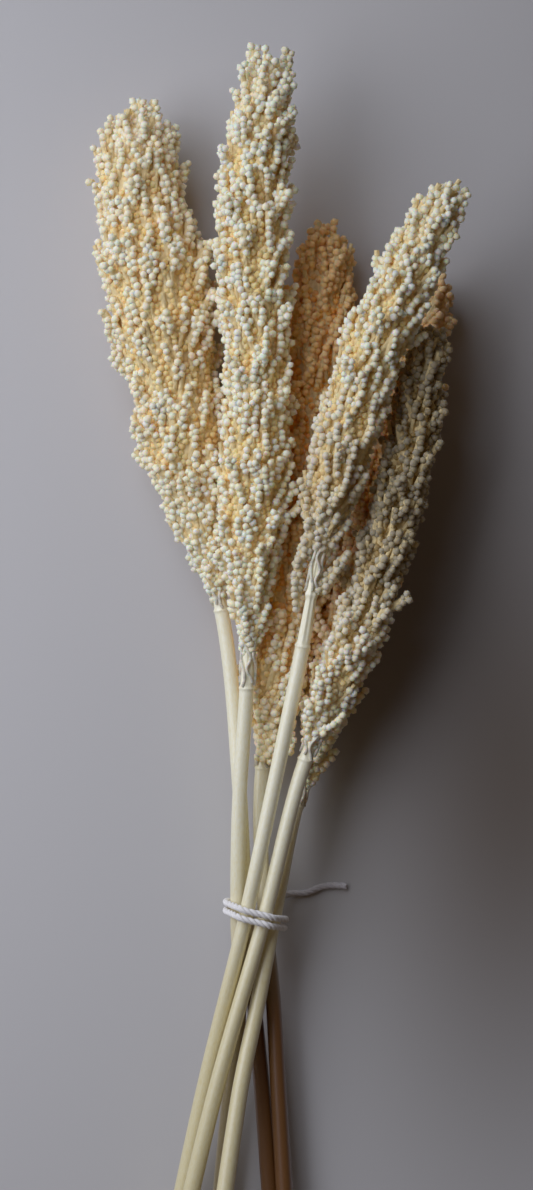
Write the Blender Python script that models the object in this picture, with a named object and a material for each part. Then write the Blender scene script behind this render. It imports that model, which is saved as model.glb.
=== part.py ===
"""A bunch of six dried sorghum stems, tied with a white cord and laid on a flat surface.

Blender 4.5, metres, +Z up. The bunch lies along Y, with its seed heads towards +Y and its cut stalk
ends towards -Y. Each stem is a smooth round stalk with a ring at its top, and a head of grain. The
heads carry their grain as raised relief, on lobes that stand for the finger-like branches of the real
head. Places and sizes below are in millimetres, and places are measured from the tie.
"""
import math
import random
from collections import namedtuple

import bmesh
import bpy
from mathutils import Vector

MM = 0.001
TOUCH_GAP = 0.3
GOLDEN_ANGLE = math.radians(137.508)

# One stem: its route from the cut end to the tip of the head, then where along Y its ring and its
# head start, how many grain columns go round the head, and the head's outline.
# route points are (x, y, z). peak is how far up the head it is widest, and a low blunt gives a
# head that keeps its width towards both ends.
Stem = namedtuple("Stem", "name route ring_y head_y columns head_radius peak blunt")
STEMS = [
    Stem("left", [(11.5, -213.5, 3.5), (2.0, -85.5, 10.0), (-4.5, -0.5, 14.0), (-7.5, 56.0, 16.5),
                  (-13.5, 124.5, 19.5), (-26.5, 187.5, 22.0), (-39.5, 260.0, 24.5),
                  (-51.0, 323.0, 25.0), (-51.5, 364.0, 25.0)],
         138.0, 143.0, 30, 25.0, 0.60, 0.40),
    Stem("centre", [(-29.0, -214.5, 3.5), (-14.5, -85.0, 13.0), (-9.0, 0.0, 21.5), (-7.5, 52.5, 27.5),
                    (-4.0, 106.5, 34.0), (-2.0, 178.0, 41.0), (0.5, 231.5, 45.0),
                    (-2.0, 311.5, 48.0), (2.5, 356.0, 49.0), (6.0, 378.0, 49.5)],
         103.0, 118.0, 24, 19.0, 0.52, 0.36),
    Stem("back", [(17.0, -209.5, 9.5), (10.0, -85.0, 13.5), (4.0, -0.5, 14.5), (2.0, 51.5, 15.0),
                  (7.0, 101.5, 15.5), (17.0, 169.5, 16.0), (27.5, 242.5, 16.5), (31.0, 309.0, 17.0)],
         66.0, 72.0, 20, 17.0, 0.60, 0.25),
    Stem("right_front", [(-52.5, -212.5, 4.0), (-27.5, -84.0, 20.0), (-4.5, 0.5, 30.0),
                         (8.0, 57.5, 37.0), (21.0, 120.0, 44.5), (32.5, 182.5, 52.0),
                         (49.5, 240.0, 58.0), (72.5, 296.5, 63.5), (87.5, 325.0, 66.0)],
         122.0, 158.0, 20, 16.5, 0.50, 0.27),
    Stem("right_low", [(-46.5, -213.0, 14.0), (-18.0, -83.5, 23.5), (4.0, 0.5, 30.0),
                       (18.0, 57.5, 35.5), (29.5, 91.0, 38.5), (45.5, 129.0, 41.0),
                       (58.0, 167.0, 42.5), (68.0, 205.0, 43.0), (76.5, 258.5, 43.5)],
         71.0, 76.0, 18, 15.5, 0.50, 0.28),
    Stem("right_under", [(-23.5, -204.0, 37.0), (-4.5, -83.0, 28.0), (9.0, 0.0, 22.0),
                         (17.5, 52.0, 18.0), (27.0, 83.5, 16.5), (40.0, 129.0, 14.5),
                         (53.0, 174.5, 13.5), (67.5, 220.0, 13.0), (83.5, 286.0, 12.0)],
         49.0, 54.0, 16, 13.5, 0.52, 0.33),
]

# Stalk: a round shaft, the ring where the lowest branches left it, and the grooved neck above.
STALK_RADIUS = 3.8
STALK_SIDES = 10
STALK_STEP = 22.0
CUT_SLANT = 0.15
RING_LENGTH = 1.6
RING_STANDS = 0.6
NECK_RADIUS = 2.9
NECK_GROOVE = 0.5
NECK_STEP = 6.0

# Head: rows of grain relief, and the lobes of the branches below it.
ROW_STEP = 4.7
GRAIN_RELIEF = 1.9
GRAIN_UNEVEN = 0.35
GRAIN_SCATTER = 0.2
LOBE_LENGTH = 45.0
LOBE_HALF_WIDTH = 7.0
LOBE_DEPTH = 4.5
LOBE_AREA = 330.0
BASE_DISC_RADIUS = 2.9
TIP_RADIUS = 3.4
PROFILE_SAMPLES = 400

# Sprigs: branch tips and low branches that stand clear of a head, as (head, points, thickest radius).
SPRIG_SIDES = 6
SPRIG_STEP = 3.8
SPRIGS = [
    ("centre", [(1.5, 362.0, 49.0), (-1.0, 376.0, 49.5), (-0.5, 389.0, 49.5)], 6.0),
    ("centre", [(8.0, 362.0, 49.0), (12.0, 376.0, 49.5), (14.5, 387.0, 49.0)], 6.0),
    ("left", [(-53.0, 348.0, 25.5), (-54.0, 360.0, 26.5), (-54.0, 371.0, 27.0)], 6.0),
    ("left", [(-47.5, 346.0, 26.0), (-46.0, 358.0, 27.0), (-46.5, 368.0, 27.5)], 6.0),
    ("back", [(28.5, 296.0, 17.0), (27.5, 308.0, 17.5), (28.0, 318.0, 18.0)], 5.6),
    ("back", [(35.0, 290.0, 17.0), (38.0, 301.0, 17.5), (39.5, 311.0, 17.5)], 5.6),
    ("right_front", [(82.0, 312.0, 65.0), (89.5, 320.5, 66.0), (94.5, 328.0, 66.0)], 5.6),
    ("right_front", [(26.0, 173.0, 50.5), (20.5, 162.0, 49.0), (18.0, 150.0, 47.5),
                     (18.5, 138.0, 46.0)], 4.8),
    ("right_front", [(35.0, 171.0, 50.0), (39.0, 160.0, 47.5), (36.5, 150.0, 46.0),
                     (33.0, 141.0, 45.0)], 4.4),
    ("right_low", [(75.0, 244.0, 43.5), (75.0, 255.0, 44.5), (77.0, 264.0, 45.0)], 5.2),
    ("right_under", [(80.0, 268.0, 12.5), (83.0, 279.0, 13.0), (86.5, 289.0, 13.5)], 5.2),
]

# What lies this low on the surface is pressed flat on it.
HEAD_FLAT = 2.0
STALK_FLAT = 0.5

# Tie: one cord wound twice round the stalks, knotted under them, with one free end on the surface.
CORD_DIAMETER = 3.0
CORD_SIDES = 8
TURNS = 2
TURN_POINTS = 20
TURN_PITCH = 3.4
TIE_SLANT = 0.22
STALK_LEAN_ALLOWANCE = 0.2
KNOT_CENTRE = (0.5, 0.0, 6.9)
KNOT_HALF_SIZE = (4.6, 4.4, 2.6)
STUB_ROUTE = [(-2.0, -1.0, 6.5), (-6.0, -3.5, 5.2), (-9.5, -5.0, 3.6)]
TAIL_ROUTE = [(5.3, 1.4, 6.6), (7.6, 3.0, 6.0), (9.8, 4.8, 4.9), (12.0, 6.5, 3.6), (14.2, 7.6, 2.6),
              (16.6, 8.0, 1.9), (19.2, 8.1, 1.6), (22.0, 8.2, 1.5), (24.6, 8.8, 1.5),
              (27.0, 9.9, 1.5), (29.4, 10.9, 1.5), (32.2, 11.5, 1.5), (35.2, 11.7, 1.5),
              (38.2, 11.6, 1.5), (41.2, 11.3, 1.5)]
TAIL_STEP = 6.0

STALK_COLOUR = (0.56, 0.53, 0.40)
GRAIN_COLOUR = (0.60, 0.51, 0.33)
CORD_COLOUR = (0.70, 0.70, 0.72)


class Spine:
    """A smooth curve through route points, read by the length along it."""

    SAMPLES_PER_SPAN = 40

    def __init__(self, route):
        knots = [Vector(point) for point in route]
        chords = [(b - a).length for a, b in zip(knots, knots[1:])]
        slopes = []
        for i in range(len(knots)):
            low = max(i - 1, 0)
            high = min(i + 1, len(knots) - 1)
            slopes.append((knots[high] - knots[low]) / sum(chords[low:high]))
        self.points = [knots[0]]
        for i, chord in enumerate(chords):
            for k in range(1, self.SAMPLES_PER_SPAN + 1):
                t = k / self.SAMPLES_PER_SPAN
                self.points.append(knots[i] * (2 * t ** 3 - 3 * t ** 2 + 1)
                                   + slopes[i] * chord * (t ** 3 - 2 * t ** 2 + t)
                                   + knots[i + 1] * (3 * t ** 2 - 2 * t ** 3)
                                   + slopes[i + 1] * chord * (t ** 3 - t ** 2))
        self.arcs = [0.0]
        for a, b in zip(self.points, self.points[1:]):
            self.arcs.append(self.arcs[-1] + (b - a).length)
        self.length = self.arcs[-1]

    def _span(self, arc):
        low = 0
        high = len(self.arcs) - 2
        while low < high:
            middle = (low + high + 1) // 2
            if self.arcs[middle] <= arc:
                low = middle
            else:
                high = middle - 1
        return low

    def at(self, arc):
        i = self._span(arc)
        part = (arc - self.arcs[i]) / (self.arcs[i + 1] - self.arcs[i])
        return self.points[i].lerp(self.points[i + 1], part)

    def frame(self, arc):
        """The place at this length, with the curve's direction, its right and its upward side."""
        near = self.at(max(arc - 1.0, 0.0))
        far = self.at(min(arc + 1.0, self.length))
        along = (far - near).normalized()
        right = along.cross(Vector((0, 0, 1))).normalized()
        return self.at(arc), along, right, right.cross(along)

    def arc_at_y(self, y):
        for i, point in enumerate(self.points[1:]):
            if point.y >= y:
                before = self.points[i]
                return self.arcs[i] + (y - before.y) / (point.y - before.y) * (point - before).length
        return self.length


def tube_faces(rows, columns):
    """Triangles of a tube of vertex rows whose odd rows are turned by half a column."""
    faces = []
    for row in range(rows - 1):
        for column in range(columns):
            here = row * columns + column
            here_next = row * columns + (column + 1) % columns
            above = here + columns
            above_next = here_next + columns
            if row % 2 == 0:
                faces += [(here, above, here_next), (here_next, above, above_next)]
            else:
                faces += [(here, above_next, here_next), (here, above, above_next)]
    return faces


def add_mesh(name, vertices, faces, material, flat=0.0, smooth_angle=None):
    """One object from vertices in millimetres. Those no higher than flat are pressed on the surface."""
    mesh = bpy.data.meshes.new(name)
    pressed = [(v.x * MM, v.y * MM, v.z * MM if v.z > flat else 0.0) for v in vertices]
    mesh.from_pydata(pressed, [], faces)
    mesh.validate()
    mesh.materials.append(material)
    if smooth_angle:
        mesh.shade_smooth()
        mesh.set_sharp_from_angle(angle=smooth_angle)
    node = bpy.data.objects.new(name, mesh)
    bpy.context.scene.collection.objects.link(node)
    return node


def principled(name, colour, roughness):
    material = bpy.data.materials.new(name)
    material.use_nodes = True
    shader = material.node_tree.nodes["Principled BSDF"]
    shader.inputs["Base Color"].default_value = (*colour, 1.0)
    shader.inputs["Roughness"].default_value = roughness
    shader.inputs["Metallic"].default_value = 0.0
    return material


def join_union(node, extras):
    """Fuses the extra objects into the node, and removes them."""
    collection = bpy.data.collections.new(node.name + "_extras")
    bpy.context.scene.collection.children.link(collection)
    for extra in extras:
        bpy.context.scene.collection.objects.unlink(extra)
        collection.objects.link(extra)
    union = node.modifiers.new("union", "BOOLEAN")
    union.operation = "UNION"
    union.operand_type = "COLLECTION"
    union.collection = collection
    union.solver = "EXACT"
    graph = bpy.context.evaluated_depsgraph_get()
    fused = bpy.data.meshes.new_from_object(node.evaluated_get(graph))
    node.modifiers.remove(union)
    old = node.data
    node.data = fused
    bpy.data.meshes.remove(old)
    for extra in extras:
        bpy.data.objects.remove(extra)
    bpy.data.collections.remove(collection)
    fused.name = node.name


def stalk_rings(spine, ring_arc, end_arc):
    """Rings up a stalk as (length along it, radius, groove depth)."""
    rings = []
    shaft_end = ring_arc - 2 * RING_LENGTH
    steps = math.ceil(shaft_end / STALK_STEP)
    for i in range(steps + 1):
        rings.append((shaft_end * i / steps, STALK_RADIUS, 0.0))
    rings.append((ring_arc - RING_LENGTH / 2, STALK_RADIUS + RING_STANDS, 0.0))
    rings.append((ring_arc + RING_LENGTH / 2, STALK_RADIUS + RING_STANDS * 0.7, 0.1))
    neck_start = ring_arc + 2 * RING_LENGTH
    if neck_start < end_arc - NECK_STEP / 2:
        steps = max(1, round((end_arc - neck_start) / NECK_STEP))
        for i in range(steps):
            rings.append((neck_start + (end_arc - neck_start) * i / steps, NECK_RADIUS, NECK_GROOVE))
    rings.append((end_arc, BASE_DISC_RADIUS, NECK_GROOVE))
    return rings


def make_stalk(stem, spine, material):
    """The stalk, from its slanting cut end to just below the head."""
    end_arc = spine.arc_at_y(stem.head_y) - TOUCH_GAP
    rings = stalk_rings(spine, spine.arc_at_y(stem.ring_y), end_arc)
    vertices = []
    for row, (arc, radius, groove) in enumerate(rings):
        centre, along, right, up = spine.frame(arc)
        for column in range(STALK_SIDES):
            angle = math.tau * (column + 0.5 * (row % 2)) / STALK_SIDES
            reach = radius - groove * (column % 2)
            slant = CUT_SLANT * radius * math.cos(angle) if row == 0 else 0.0
            vertices.append(centre + right * reach * math.cos(angle) + up * reach * math.sin(angle)
                            + along * slant)
    faces = tube_faces(len(rings), STALK_SIDES)
    last = (len(rings) - 1) * STALK_SIDES
    faces.append(tuple(range(STALK_SIDES)))
    faces.append(tuple(reversed(range(last, last + STALK_SIDES))))
    return add_mesh("stalk_" + stem.name, vertices, faces, material, STALK_FLAT, math.radians(40))


def head_profile(stem, spine):
    """Rows up a head as (length along the spine, radius, slope), evenly spaced over its surface."""
    start = spine.arc_at_y(stem.head_y)
    power = math.log(0.5) / math.log(stem.peak)
    samples = []
    for i in range(1, PROFILE_SAMPLES):
        part = i / PROFILE_SAMPLES
        radius = stem.head_radius * math.sin(math.pi * part ** power) ** stem.blunt
        samples.append((start + (spine.length - start) * part, radius))
    widest = max(range(len(samples)), key=lambda i: samples[i][1])
    samples = [(arc, radius) for i, (arc, radius) in enumerate(samples)
               if radius > (BASE_DISC_RADIUS if i < widest else TIP_RADIUS)]
    samples.insert(0, (start, BASE_DISC_RADIUS))
    travelled = [0.0]
    for (arc_a, radius_a), (arc_b, radius_b) in zip(samples, samples[1:]):
        travelled.append(travelled[-1] + math.hypot(arc_b - arc_a, radius_b - radius_a))
    rows = round(travelled[-1] / ROW_STEP)
    profile = []
    i = 0
    for row in range(rows + 1):
        target = travelled[-1] * row / rows
        while i < len(samples) - 2 and travelled[i + 1] < target:
            i += 1
        part = (target - travelled[i]) / (travelled[i + 1] - travelled[i])
        arc = samples[i][0] + (samples[i + 1][0] - samples[i][0]) * part
        radius = samples[i][1] + (samples[i + 1][1] - samples[i][1]) * part
        slope = (samples[i + 1][1] - samples[i][1]) / (samples[i + 1][0] - samples[i][0])
        profile.append((arc, radius, slope))
    return profile


def lobe_starts(stem, first_arc, last_arc):
    """Where the branches leave the head's core, as (length along the spine, angle round it)."""
    around = math.tau * stem.head_radius
    count = round(around * (last_arc - first_arc) / LOBE_AREA)
    return [(first_arc - LOBE_LENGTH + (last_arc - first_arc + LOBE_LENGTH / 2) * i / count,
             i * GOLDEN_ANGLE) for i in range(count)]


def lobe_height(lobes, arc, angle, radius):
    """How far up a branch this place is, from 0 between the branches to 1 on top of one."""
    best = 0.0
    for lobe_arc, lobe_angle in lobes:
        along = (arc - lobe_arc) / LOBE_LENGTH
        if not 0.0 < along < 1.0:
            continue
        turn = (angle - lobe_angle + math.pi) % math.tau - math.pi
        across = radius * turn / LOBE_HALF_WIDTH
        if abs(across) < 1.0:
            best = max(best, math.sqrt((1.0 - across ** 2) * along * (1.0 - along ** 6)))
    return best


def make_head(stem, spine, material, seed):
    """The head of grain: a lobed body whose surface is covered with raised grains."""
    draw = random.Random(seed)
    profile = head_profile(stem, spine)
    lobes = lobe_starts(stem, profile[0][0], profile[-1][0])
    vertices = []
    for row, (arc, radius, slope) in enumerate(profile):
        centre, along, right, up = spine.frame(arc)
        edge = row in (0, len(profile) - 1)
        width = math.tau * radius / stem.columns
        depth = 0.0 if edge else min(LOBE_DEPTH, radius * 0.25)
        relief = 0.0 if edge else GRAIN_RELIEF * min(1.0, width / ROW_STEP)
        for column in range(stem.columns):
            scatter = 0.0 if edge else GRAIN_SCATTER
            angle = math.tau * (column + 0.5 * (row % 2) + draw.uniform(-scatter, scatter)) / stem.columns
            outward = right * math.cos(angle) + up * math.sin(angle)
            normal = (outward - along * slope).normalized()
            grain = (column - row // 2 - row) % 3 == 0
            sink = depth * (1.0 - lobe_height(lobes, arc, angle, radius))
            sink += relief * (draw.uniform(0.0, GRAIN_UNEVEN) if grain else 1.0 - draw.uniform(0.0, 0.15))
            shift = ROW_STEP * draw.uniform(-scatter, scatter) * min(1.0, width / ROW_STEP)
            vertices.append(centre + outward * radius - normal * sink + along * shift)
    columns = stem.columns
    faces = tube_faces(len(profile), columns)
    faces.append(tuple(range(columns)))
    last = (len(profile) - 1) * columns
    tip = len(vertices)
    vertices.append(spine.at(spine.length))
    faces += [(last + i, tip, last + (i + 1) % columns) for i in range(columns)]
    return add_mesh("head_" + stem.name, vertices, faces, material, HEAD_FLAT)


def make_sprig(points, radius, material, draw):
    """A short spindle of grain, its rows of sides swollen in turn."""
    spine = Spine(points)
    rows = max(3, round(spine.length / SPRIG_STEP))
    vertices = []
    for row in range(rows + 1):
        part = row / rows
        centre, _, right, up = spine.frame(spine.length * part)
        girth = radius * (1.0 - 0.65 * part)
        for column in range(SPRIG_SIDES):
            angle = math.tau * (column + 0.5 * (row % 2)) / SPRIG_SIDES
            reach = girth * (1.0 if (column - row // 2 - row) % 3 == 0 else draw.uniform(0.68, 0.8))
            vertices.append(centre + (right * math.cos(angle) + up * math.sin(angle)) * reach)
    faces = tube_faces(rows + 1, SPRIG_SIDES)
    last = rows * SPRIG_SIDES
    faces.append(tuple(range(SPRIG_SIDES)))
    faces.append(tuple(reversed(range(last, last + SPRIG_SIDES))))
    return add_mesh("sprig", vertices, faces, material)


def cord_tube(name, points, frames, material):
    """A round tube along points, its sides placed by each point's two cross directions."""
    vertices = []
    for point, (first, second) in zip(points, frames):
        for side in range(CORD_SIDES):
            angle = math.tau * side / CORD_SIDES
            vertices.append(point + (first * math.cos(angle) + second * math.sin(angle))
                            * CORD_DIAMETER / 2)
    faces = []
    for row in range(len(points) - 1):
        for side in range(CORD_SIDES):
            here = row * CORD_SIDES + side
            here_next = row * CORD_SIDES + (side + 1) % CORD_SIDES
            faces.append((here, here_next, here_next + CORD_SIDES, here + CORD_SIDES))
    last = (len(points) - 1) * CORD_SIDES
    faces.append(tuple(reversed(range(CORD_SIDES))))
    faces.append(tuple(range(last, last + CORD_SIDES)))
    return add_mesh(name, vertices, faces, material, 0.0, math.radians(50))


def turn_point(spines, angle, offset):
    """Where the cord's middle lies when it is pulled round the stalks, facing this way."""
    facing = Vector((math.cos(angle), 0.0, math.sin(angle)))
    reach = STALK_RADIUS + STALK_LEAN_ALLOWANCE + TOUCH_GAP + CORD_DIAMETER / 2
    best = None
    for spine in spines:
        y = offset
        for _ in range(4):
            stalk = spine.at(spine.arc_at_y(y))
            y = offset - TIE_SLANT * stalk.x
        point = stalk + facing * reach
        if best is None or point.dot(facing) > best.dot(facing):
            best = point
    best.y = offset - TIE_SLANT * best.x
    return best, facing


def make_tie(spines, material):
    """The cord's turns, the knot under the stalks and the short end, as one body."""
    points = []
    frames = []
    total = TURNS * TURN_POINTS
    for i in range(total + 1):
        angle = -math.pi / 2 + math.tau * i / TURN_POINTS
        offset = TURN_PITCH * (i / total - 0.5) * TURNS
        point, facing = turn_point(spines, angle, offset)
        points.append(point)
        frames.append((facing, Vector((0.0, 1.0, 0.0))))
    tie = cord_tube("tie", points, frames, material)
    knot_mesh = bmesh.new()
    bmesh.ops.create_icosphere(knot_mesh, subdivisions=2, radius=1.0)
    size = Vector(KNOT_HALF_SIZE)
    knot_vertices = [Vector(KNOT_CENTRE) + size * v.co for v in knot_mesh.verts]
    knot_faces = [tuple(v.index for v in face.verts) for face in knot_mesh.faces]
    knot_mesh.free()
    knot = add_mesh("knot", knot_vertices, knot_faces, material)
    stub_spine = Spine(STUB_ROUTE)
    stub_frames = [stub_spine.frame(stub_spine.length * i / 2)[2:] for i in range(3)]
    stub_points = [stub_spine.at(stub_spine.length * i / 2) for i in range(3)]
    stub = cord_tube("stub", stub_points, stub_frames, material)
    join_union(tie, [knot, stub])
    return tie


def make_tail(material):
    """The cord's free end, which leaves the knot and lies on the surface."""
    spine = Spine(TAIL_ROUTE)
    count = round(spine.length / TAIL_STEP)
    curve = bpy.data.curves.new("tie_tail", "CURVE")
    curve.dimensions = "3D"
    curve.bevel_depth = CORD_DIAMETER / 2 * MM
    curve.bevel_resolution = 2
    curve.use_fill_caps = True
    spline = curve.splines.new("POLY")
    spline.points.add(count)
    for i, point in enumerate(spline.points):
        point.co = (*(spine.at(spine.length * i / count) * MM), 1.0)
    curve.materials.append(material)
    tail = bpy.data.objects.new("tie_tail", curve)
    bpy.context.scene.collection.objects.link(tail)
    return tail


def place_on_origin(nodes, measured):
    """Parents the nodes to an empty, placed so that the measured ones stand centred on the origin."""
    corners = [node.matrix_world @ Vector(corner) for node in measured for corner in node.bound_box]
    low = [min(corner[axis] for corner in corners) for axis in range(3)]
    high = [max(corner[axis] for corner in corners) for axis in range(3)]
    bunch = bpy.data.objects.new("bunch", None)
    bpy.context.scene.collection.objects.link(bunch)
    for node in nodes:
        node.parent = bunch
    bunch.location = (-(low[0] + high[0]) / 2, -(low[1] + high[1]) / 2, -low[2])


def main():
    for old in list(bpy.data.objects):
        bpy.data.objects.remove(old)
    stalk_material = principled("dried stalk", STALK_COLOUR, 0.45)
    grain_material = principled("dried grain", GRAIN_COLOUR, 0.75)
    cord_material = principled("white cord", CORD_COLOUR, 0.9)
    spines = [Spine(stem.route) for stem in STEMS]
    nodes = []
    for number, (stem, spine) in enumerate(zip(STEMS, spines)):
        nodes.append(make_stalk(stem, spine, stalk_material))
        head = make_head(stem, spine, grain_material, number)
        draw = random.Random(100 + number)
        sprigs = [make_sprig(points, radius, grain_material, draw)
                  for name, points, radius in SPRIGS if name == stem.name]
        join_union(head, sprigs)
        nodes.append(head)
    nodes.append(make_tie(spines, cord_material))
    place_on_origin(nodes + [make_tail(cord_material)], nodes)


main()
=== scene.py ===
"""The looks of a bunch of six dried sorghum stems, tied with a white cord and laid on a pale surface.

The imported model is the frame. Here each of its plain solids gets a finer piece in its place: a stalk
with its ring and grooved neck, a head of single grains on a core of branches, and a cord of twisted
plies. Lengths are in metres. Places in the tables are measured from the tie, where the stems cross,
and in_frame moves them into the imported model's frame.
"""

import math
from collections import namedtuple
from functools import partial

import bmesh
import bpy
import numpy as np
from bpy.props import FloatProperty, FloatVectorProperty, IntProperty, PointerProperty
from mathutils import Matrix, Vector


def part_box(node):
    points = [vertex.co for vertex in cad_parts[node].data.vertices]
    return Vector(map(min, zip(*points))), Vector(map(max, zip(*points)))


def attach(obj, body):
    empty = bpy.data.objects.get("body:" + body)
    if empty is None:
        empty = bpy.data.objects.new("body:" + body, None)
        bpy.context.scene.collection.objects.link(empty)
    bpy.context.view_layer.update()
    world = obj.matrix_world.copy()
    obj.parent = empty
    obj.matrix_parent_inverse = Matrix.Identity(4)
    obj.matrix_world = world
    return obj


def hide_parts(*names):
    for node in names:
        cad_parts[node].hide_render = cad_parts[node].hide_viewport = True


bl_info = {
    "name": "Dried Sorghum Bunch",
    "version": (1, 0, 0),
    "blender": (4, 5, 0),
    "location": "3D View > Sidebar > Sorghum",
    "description": "Makes the grains, stalks and cord of a tied bunch of dried sorghum",
    "category": "Object",
}

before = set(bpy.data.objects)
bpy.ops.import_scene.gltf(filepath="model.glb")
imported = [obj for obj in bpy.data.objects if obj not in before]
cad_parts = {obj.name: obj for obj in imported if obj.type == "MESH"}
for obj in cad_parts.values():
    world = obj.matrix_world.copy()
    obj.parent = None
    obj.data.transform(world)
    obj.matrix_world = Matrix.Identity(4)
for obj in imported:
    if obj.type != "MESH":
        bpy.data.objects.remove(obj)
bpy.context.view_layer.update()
MM = 0.001
GOLDEN_ANGLE = math.radians(137.508)

# One stem: its route from the cut end to the tip of the head, where along Y its ring and its head
# start, and the head's outline as (how far up the head, radius). Then as shares: how amber its grain
# is, partly its own tone and partly a painted warm shade, how much painted shade greys its grain at
# the foot and at the tip of the head, how brown the foot of its stalk is, partly dried colour and
# partly painted shade, how deep the gaps between its twigs are, and how many of the twigs stand out.
Stem = namedtuple("Stem", "name route ring_y head_y outline amber dull brown gaps stray",
                  defaults=[.0, (.0, .0), .0, 1.0, .12])
STEMS = [
    Stem("left", [(.0125, -.2135, .0045), (.0030, -.0855, .0100), (-.0045, -.0005, .0140),
                  (-.0075, .0560, .0165), (-.0135, .1245, .0195), (-.0265, .1875, .0220),
                  (-.0400, .2600, .0245), (-.0520, .3230, .0250), (-.0525, .3600, .0250)],
         .138, .143, [(0, .0029), (.06, .0059), (.16, .0122), (.26, .0175), (.34, .0208), (.42, .0185),
                      (.50, .0209), (.56, .0236), (.69, .0240), (.74, .0208), (.82, .0185),
                      (.885, .0186), (.94, .0132), (.985, .0066), (1, .0036)],
         amber=.10, brown=1.0, gaps=.70, stray=.16),
    Stem("centre", [(-.0235, -.2145, .0045), (-.0122, -.0850, .0130), (-.0074, -.0375, .0165),
                    (-.0084, .0000, .0215), (-.0075, .0525, .0275), (-.0040, .1065, .0340),
                    (-.0020, .1780, .0410), (.0005, .2315, .0450), (-.0020, .3115, .0480),
                    (.0025, .3560, .0490), (.0060, .3780, .0495)],
         .103, .118, [(0, .0029), (.06, .0062), (.18, .0127), (.31, .0167), (.36, .0155), (.47, .0150),
                      (.57, .0142), (.64, .0159), (.72, .0172), (.78, .0156), (.865, .0143),
                      (.94, .0120), (.985, .0070), (1, .0045)], brown=.5),
    Stem("back", [(.0180, -.2095, .0122), (.0104, -.0850, .0135), (.0076, -.0375, .0140),
                  (.0040, -.0005, .0145), (.0020, .0515, .0150), (.0070, .1015, .0155),
                  (.0170, .1695, .0160), (.0275, .2425, .0165), (.0310, .3060, .0170)],
         .066, .072, [(0, .0029), (.05, .0060), (.12, .0120), (.25, .0165), (.50, .0170), (.75, .0165),
                      (.87, .0140), (.94, .0105), (1, .0045)], amber=.75, brown=1.0, gaps=.90),
    Stem("right_front", [(-.0508, -.2125, .0046), (-.0246, -.0840, .0170), (-.0045, .0005, .0300),
                         (.0074, .0560, .0370), (.0120, .0780, .0398), (.0205, .1200, .0445),
                         (.0315, .1825, .0520), (.0475, .2400, .0580), (.0532, .2560, .0597),
                         (.0718, .2965, .0635), (.0848, .3195, .0660)],
         .122, .165, [(0, .0030), (.055, .0066), (.10, .0095), (.18, .0124), (.34, .0143), (.45, .0139),
                      (.58, .0150), (.69, .0134), (.80, .0116), (.90, .0100), (.97, .0080),
                      (1, .0050)], dull=(.45, .0), gaps=.85, stray=.04),
    Stem("right_low", [(-.0490, -.2130, .0150), (-.0193, -.0835, .0255), (.0040, .0005, .0300),
                       (.0180, .0575, .0355), (.0295, .0910, .0385), (.0455, .1290, .0410),
                       (.0580, .1670, .0425), (.0680, .2050, .0430), (.0765, .2585, .0435)],
         .071, .076, [(0, .0029), (.05, .0060), (.12, .0085), (.19, .0108), (.25, .0128), (.36, .0128),
                      (.54, .0126), (.73, .0124), (.86, .0108), (.95, .0082), (1, .0040)],
         dull=(.0, 1.0), gaps=1.3),
    Stem("right_under", [(-.0250, -.2040, .0370), (-.0079, -.0830, .0280), (.0012, -.0375, .0245),
                         (.0084, .0000, .0220), (.0185, .0500, .0180), (.0295, .0835, .0165),
                         (.0415, .1290, .0145), (.0530, .1745, .0135), (.0675, .2200, .0130),
                         (.0820, .2840, .0120)],
         .049, .054, [(0, .0024), (.08, .0050), (.16, .0096), (.30, .0134), (.50, .0134), (.70, .0115),
                      (.85, .0090), (.94, .0062), (1, .0035)], amber=.6, dull=(.0, .2)),
]

# Sprigs: branch tips and low branches that stand clear of a head, as (head, points, thickest radius).
SPRIGS = [
    ("centre", [(.0015, .3620, .0490), (-.0010, .3760, .0495), (-.0005, .3890, .0495)], .0060),
    ("centre", [(.0080, .3620, .0490), (.0120, .3760, .0495), (.0145, .3870, .0490)], .0060),
    ("left", [(-.0530, .3450, .0255), (-.0540, .3570, .0265), (-.0540, .3675, .0270)], .0056),
    ("left", [(-.0475, .3430, .0260), (-.0462, .3560, .0270), (-.0462, .3680, .0275)], .0054),
    ("back", [(.0295, .2920, .0170), (.0285, .3040, .0175), (.0287, .3140, .0180)], .0050),
    ("back", [(.0350, .2860, .0170), (.0380, .2970, .0175), (.0395, .3070, .0175)], .0050),
    ("right_front", [(.0800, .3060, .0650), (.0865, .3125, .0660), (.0895, .3175, .0660)], .0050),
    ("right_front", [(.0260, .1730, .0505), (.0205, .1620, .0490), (.0180, .1500, .0475),
                     (.0185, .1380, .0460)], .0048),
    ("right_front", [(.0285, .1465, .0470), (.0345, .1545, .0475), (.0405, .1640, .0480)], .0046),
    ("back", [(.0045, .0700, .0195), (.0065, .0830, .0205), (.0085, .0970, .0210)], .0060),
    ("back", [(.0120, .0740, .0185), (.0145, .0870, .0190), (.0170, .1010, .0190)], .0058),
    ("back", [(.0155, .0930, .0185), (.0185, .1060, .0190), (.0210, .1200, .0190)], .0060),
    ("back", [(.0270, .1460, .0175), (.0325, .1590, .0180), (.0350, .1720, .0185)], .0062),
    ("right_low", [(.0750, .2440, .0435), (.0750, .2550, .0445), (.0770, .2640, .0450)], .0052),
    ("right_under", [(.0790, .2640, .0125), (.0820, .2750, .0130), (.0835, .2850, .0135)], .0048),
]
SPRIG_TAPER = 0.65

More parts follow.
